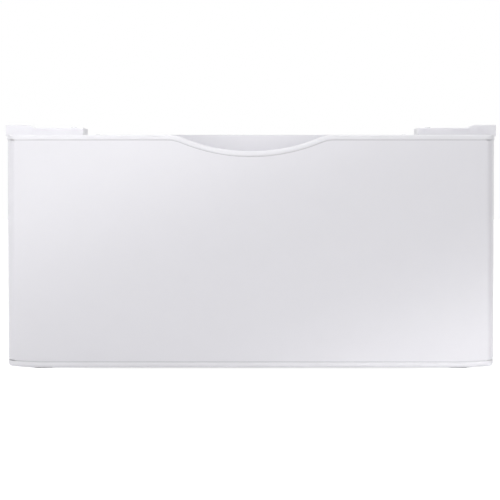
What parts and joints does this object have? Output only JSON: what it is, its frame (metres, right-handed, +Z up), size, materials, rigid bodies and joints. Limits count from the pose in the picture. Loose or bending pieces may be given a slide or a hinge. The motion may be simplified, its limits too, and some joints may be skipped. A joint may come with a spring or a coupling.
{
  "type": "laundry pedestal drawer",
  "caption": "Low steel laundry pedestal with one full-width drawer on ball-bearing slides, a dipped pull lip, corner plates for a washer or dryer, and levelling feet.",
  "frame": {"origin": "on the floor under the middle of the pedestal, feet screwed right in", "axes": "+X to the right seen from the front, the drawer opens towards -Y, +Z up"},
  "size_m": [0.686, 0.7135, 0.3455],
  "materials": {
    "white_enamel": "glossy white baked enamel on sheet steel",
    "white_panel": "satin white powder coat inside the drawer",
    "white_moulding": "semi-gloss white moulded plastic",
    "zinc_steel": "zinc-plated sheet steel",
    "bright_steel": "bright machined steel",
    "black_rubber": "matt black rubber",
    "black_plastic": "matt black moulded plastic"
  },
  "bodies": {
    "cabinet": {"left_side_panel": "white_enamel", "right_side_panel": "white_enamel", "rear_panel": "zinc_steel", "front_top_rail": "zinc_steel", "rear_top_rail": "zinc_steel", "front_bottom_rail": "zinc_steel", "rear_bottom_rail": "zinc_steel", "corner_plate_front_left": "white_moulding", "corner_plate_front_right": "white_moulding", "corner_plate_rear_left": "white_moulding", "corner_plate_rear_right": "white_moulding", "foot_bracket_front_left": "zinc_steel", "foot_bracket_front_right": "zinc_steel", "foot_bracket_rear_left": "zinc_steel", "foot_bracket_rear_right": "zinc_steel", "slide_bracket_left": "zinc_steel", "slide_bracket_right": "zinc_steel", "slide_outer_left": "zinc_steel", "slide_outer_right": "zinc_steel", "drawer_bumpers": "black_rubber"},
    "drawer": {"face_panel": "white_enamel", "top_trim": "white_moulding", "bottom_trim": "white_moulding", "handle_cup": "white_moulding", "front_liner": "white_panel", "front_stiffeners": "zinc_steel", "drawer_left_side": "white_panel", "drawer_right_side": "white_panel", "drawer_back": "white_panel", "drawer_floor": "white_panel", "slide_inner_left": "zinc_steel", "slide_inner_right": "zinc_steel", "lever_rivets": "bright_steel"},
    "left_middle_member": {"slide_middle_left": "zinc_steel"},
    "left_outer_bearing": {"outer_cage_left": "zinc_steel", "outer_balls_left": "bright_steel"},
    "left_inner_bearing": {"inner_cage_left": "zinc_steel", "inner_balls_left": "bright_steel"},
    "left_lever": {"release_lever_left": "black_plastic"},
    "right_middle_member": {"slide_middle_right": "zinc_steel"},
    "right_outer_bearing": {"outer_cage_right": "zinc_steel", "outer_balls_right": "bright_steel"},
    "right_inner_bearing": {"inner_cage_right": "zinc_steel", "inner_balls_right": "bright_steel"},
    "right_lever": {"release_lever_right": "black_plastic"},
    "front_left_pad": {"foot_pad_front_left": "black_rubber"},
    "front_left_stud": {"foot_stud_front_left": "bright_steel"},
    "front_right_pad": {"foot_pad_front_right": "black_rubber"},
    "front_right_stud": {"foot_stud_front_right": "bright_steel"},
    "rear_left_pad": {"foot_pad_rear_left": "black_rubber"},
    "rear_left_stud": {"foot_stud_rear_left": "bright_steel"},
    "rear_right_pad": {"foot_pad_rear_right": "black_rubber"},
    "rear_right_stud": {"foot_stud_rear_right": "bright_steel"}
  },
  "joints": [
    {"name": "drawer_slide", "type": "slide", "parent": "cabinet", "child": "drawer", "axis": [0, -1, 0], "range_m": [0, 0.54]},
    {"name": "left_middle_member_slide", "type": "slide", "parent": "cabinet", "child": "left_middle_member", "axis": [0, -1, 0], "range_m": [0, 0.27]},
    {"name": "left_outer_bearing_slide", "type": "slide", "parent": "cabinet", "child": "left_outer_bearing", "axis": [0, -1, 0], "range_m": [0, 0.135]},
    {"name": "left_inner_bearing_slide", "type": "slide", "parent": "cabinet", "child": "left_inner_bearing", "axis": [0, -1, 0], "range_m": [0, 0.405]},
    {"name": "right_middle_member_slide", "type": "slide", "parent": "cabinet", "child": "right_middle_member", "axis": [0, -1, 0], "range_m": [0, 0.27]},
    {"name": "right_outer_bearing_slide", "type": "slide", "parent": "cabinet", "child": "right_outer_bearing", "axis": [0, -1, 0], "range_m": [0, 0.135]},
    {"name": "right_inner_bearing_slide", "type": "slide", "parent": "cabinet", "child": "right_inner_bearing", "axis": [0, -1, 0], "range_m": [0, 0.405]},
    {"name": "left_lever_pivot", "type": "hinge", "parent": "drawer", "child": "left_lever", "pos_m": [-0.3148, -0.2228, 0.15], "axis": [-1, 0, 0], "range_deg": [0, 7], "stiffness_Nm_per_rad": 0.05},
    {"name": "right_lever_pivot", "type": "hinge", "parent": "drawer", "child": "right_lever", "pos_m": [0.3148, -0.2228, 0.15], "axis": [1, 0, 0], "range_deg": [0, 7], "stiffness_Nm_per_rad": 0.05},
    {"name": "front_left_foot_drop", "type": "slide", "parent": "cabinet", "child": "front_left_pad", "axis": [0, 0, -1], "range_m": [0, 0.015]},
    {"name": "front_left_foot_turn", "type": "hinge", "parent": "front_left_pad", "child": "front_left_stud", "pos_m": [-0.2955, -0.231, 0.02], "axis": [0, 0, -1], "range_deg": [0, 3600.01]},
    {"name": "front_right_foot_drop", "type": "slide", "parent": "cabinet", "child": "front_right_pad", "axis": [0, 0, -1], "range_m": [0, 0.015]},
    {"name": "front_right_foot_turn", "type": "hinge", "parent": "front_right_pad", "child": "front_right_stud", "pos_m": [0.2955, -0.231, 0.02], "axis": [0, 0, -1], "range_deg": [0, 3600.01]},
    {"name": "rear_left_foot_drop", "type": "slide", "parent": "cabinet", "child": "rear_left_pad", "axis": [0, 0, -1], "range_m": [0, 0.015]},
    {"name": "rear_left_foot_turn", "type": "hinge", "parent": "rear_left_pad", "child": "rear_left_stud", "pos_m": [-0.2955, 0.2745, 0.02], "axis": [0, 0, -1], "range_deg": [0, 3600.01]},
    {"name": "rear_right_foot_drop", "type": "slide", "parent": "cabinet", "child": "rear_right_pad", "axis": [0, 0, -1], "range_m": [0, 0.015]},
    {"name": "rear_right_foot_turn", "type": "hinge", "parent": "rear_right_pad", "child": "rear_right_stud", "pos_m": [0.2955, 0.2745, 0.02], "axis": [0, 0, -1], "range_deg": [0, 3600.01]}
  ],
  "couplings": [
    {"joint": "left_middle_member_slide", "follows": "drawer_slide", "ratio": 0.5},
    {"joint": "left_outer_bearing_slide", "follows": "drawer_slide", "ratio": 0.25},
    {"joint": "left_inner_bearing_slide", "follows": "drawer_slide", "ratio": 0.75},
    {"joint": "right_middle_member_slide", "follows": "drawer_slide", "ratio": 0.5},
    {"joint": "right_outer_bearing_slide", "follows": "drawer_slide", "ratio": 0.25},
    {"joint": "right_inner_bearing_slide", "follows": "drawer_slide", "ratio": 0.75},
    {"joint": "front_left_foot_turn", "follows": "front_left_foot_drop", "rad_per_m": 4188.8},
    {"joint": "front_right_foot_turn", "follows": "front_right_foot_drop", "rad_per_m": 4188.8},
    {"joint": "rear_left_foot_turn", "follows": "rear_left_foot_drop", "rad_per_m": 4188.8},
    {"joint": "rear_right_foot_turn", "follows": "rear_right_foot_drop", "rad_per_m": 4188.8}
  ]
}
